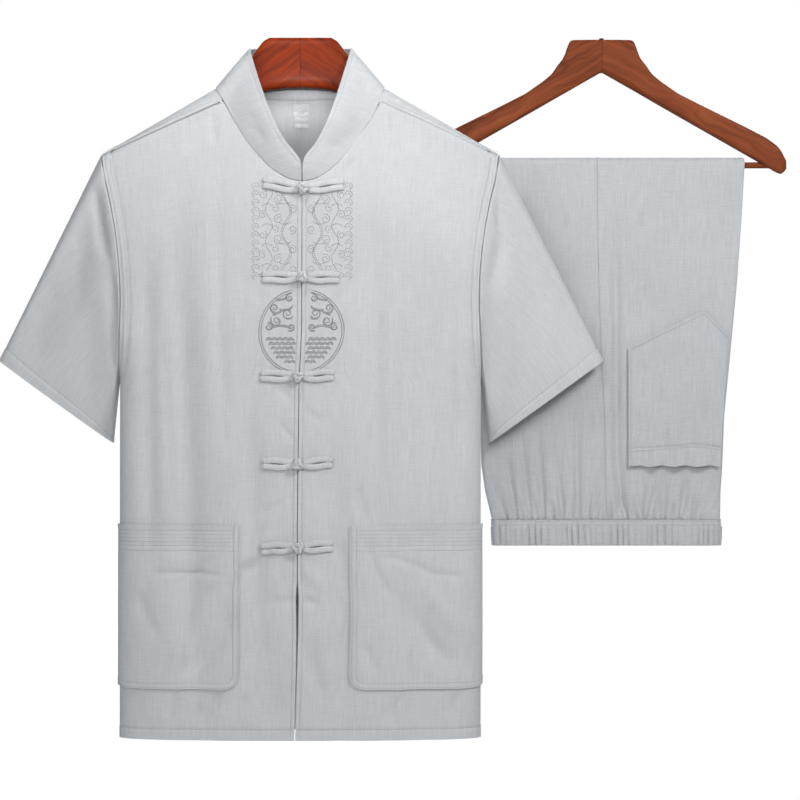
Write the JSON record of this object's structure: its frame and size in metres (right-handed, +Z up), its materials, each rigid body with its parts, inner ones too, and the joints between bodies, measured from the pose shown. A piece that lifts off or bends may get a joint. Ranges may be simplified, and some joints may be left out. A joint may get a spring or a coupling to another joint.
{
  "type": "tai chi uniform on hangers",
  "caption": "Short-sleeved stand-collar tai chi jacket with knotted frog fastenings and embroidery, and elastic-waist trousers, hung side by side on wooden hangers.",
  "frame": {"origin": "middle of the top of the jacket hanger's neck, where its hook screws in", "axes": "+X to the viewer's right, towards the trousers; +Y away from the viewer, from the jacket's front to its back; +Z up"},
  "size_m": [0.9303, 0.1366, 0.8222],
  "materials": {
    "cloth": "matt slubbed weave, pale grey",
    "label_tape": "smooth woven tape, blank",
    "red_wood": "gloss varnish",
    "brown_wood": "satin stain",
    "dark_metal": "dark"
  },
  "bodies": {
    "root": {"right_front": "cloth", "left_front": "cloth", "back": "cloth", "right_sleeve": "cloth", "left_sleeve": "cloth", "collar": "cloth", "right_pocket": "cloth", "left_pocket": "cloth", "frog_loop_1": "cloth", "frog_strap_1": "cloth", "frog_knot_1": "cloth", "frog_loop_2": "cloth", "frog_strap_2": "cloth", "frog_knot_2": "cloth", "frog_loop_3": "cloth", "frog_strap_3": "cloth", "frog_knot_3": "cloth", "frog_loop_4": "cloth", "frog_strap_4": "cloth", "frog_knot_4": "cloth", "frog_loop_5": "cloth", "frog_strap_5": "cloth", "frog_knot_5": "cloth", "near_front_panel": "cloth", "near_back_panel": "cloth", "far_front_panel": "cloth", "far_back_panel": "cloth", "waistband": "cloth", "trouser_pocket": "cloth", "neck_label": "label_tape", "size_tab": "label_tape", "jacket_hanger": "red_wood", "trouser_hanger": "brown_wood", "trouser_bar": "brown_wood", "hook_ferrule": "dark_metal"}
  },
  "joints": []
}
